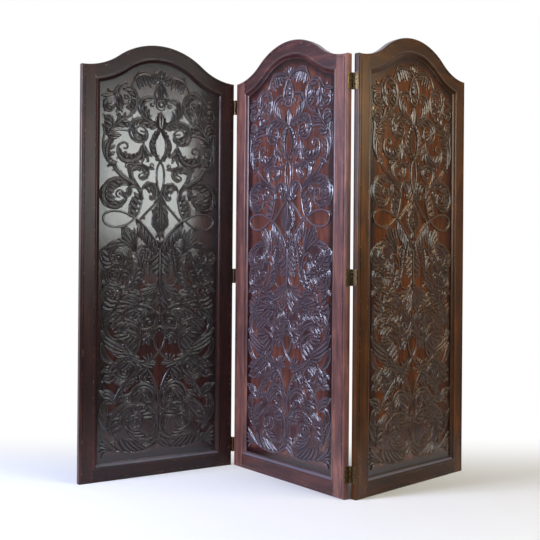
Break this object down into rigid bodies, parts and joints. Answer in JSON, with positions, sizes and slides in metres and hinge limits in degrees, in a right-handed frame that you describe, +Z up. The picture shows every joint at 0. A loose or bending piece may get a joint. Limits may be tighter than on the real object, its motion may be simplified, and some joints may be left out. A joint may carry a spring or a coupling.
{
  "type": "folding screen",
  "caption": "Folding screen of carved wooden panels with arched tops, moulded frames and brass butt hinges, standing half open in a zigzag.",
  "frame": {"origin": "on the floor, under the middle of the half-open screen's box", "axes": "+Z up, +X to the right across the whole screen as seen from its carved front, +Y from the front to the back"},
  "size_m": [1.6292, 0.5646, 1.829],
  "materials": {
    "mahogany": "dark stained and polished, semi-gloss",
    "brass": "aged, dull"
  },
  "bodies": {
    "middle_panel": {"middle_left_stile": "mahogany", "middle_left_moulding": "mahogany", "middle_right_stile": "mahogany", "middle_right_moulding": "mahogany", "middle_top_rail": "mahogany", "middle_bottom_rail": "mahogany", "middle_carved_board": "mahogany", "middle_bottom_moulding": "mahogany", "middle_top_moulding": "mahogany", "valley_hinge_bottom_fixed_leaf": "brass", "valley_hinge_middle_fixed_leaf": "brass", "valley_hinge_top_fixed_leaf": "brass", "middle_valley_screws": "brass", "valley_hinge_bottom_pin": "brass", "valley_hinge_middle_pin": "brass", "valley_hinge_top_pin": "brass", "ridge_hinge_bottom_fixed_leaf": "brass", "ridge_hinge_middle_fixed_leaf": "brass", "ridge_hinge_top_fixed_leaf": "brass", "middle_ridge_screws": "brass", "ridge_hinge_bottom_pin": "brass", "ridge_hinge_middle_pin": "brass", "ridge_hinge_top_pin": "brass"},
    "left_panel": {"left_left_stile": "mahogany", "left_left_moulding": "mahogany", "left_right_stile": "mahogany", "left_right_moulding": "mahogany", "left_top_rail": "mahogany", "left_bottom_rail": "mahogany", "left_carved_board": "mahogany", "left_bottom_moulding": "mahogany", "left_top_moulding": "mahogany", "valley_hinge_bottom_swing_leaf": "brass", "valley_hinge_middle_swing_leaf": "brass", "valley_hinge_top_swing_leaf": "brass", "left_valley_screws": "brass"},
    "right_panel": {"right_left_stile": "mahogany", "right_left_moulding": "mahogany", "right_right_stile": "mahogany", "right_right_moulding": "mahogany", "right_top_rail": "mahogany", "right_bottom_rail": "mahogany", "right_carved_board": "mahogany", "right_bottom_moulding": "mahogany", "right_top_moulding": "mahogany", "ridge_hinge_bottom_swing_leaf": "brass", "ridge_hinge_middle_swing_leaf": "brass", "ridge_hinge_top_swing_leaf": "brass", "right_ridge_screws": "brass"}
  },
  "joints": [
    {"name": "left_fold", "type": "hinge", "parent": "middle_panel", "child": "left_panel", "pos_m": [-0.19646, 0.25666, 0], "axis": [0, 0, 1], "range_deg": [-81.2, 98.8]},
    {"name": "right_fold", "type": "hinge", "parent": "middle_panel", "child": "right_panel", "pos_m": [0.27848, -0.26289, 0], "axis": [0, 0, 1], "range_deg": [-92.9, 87.1]}
  ]
}
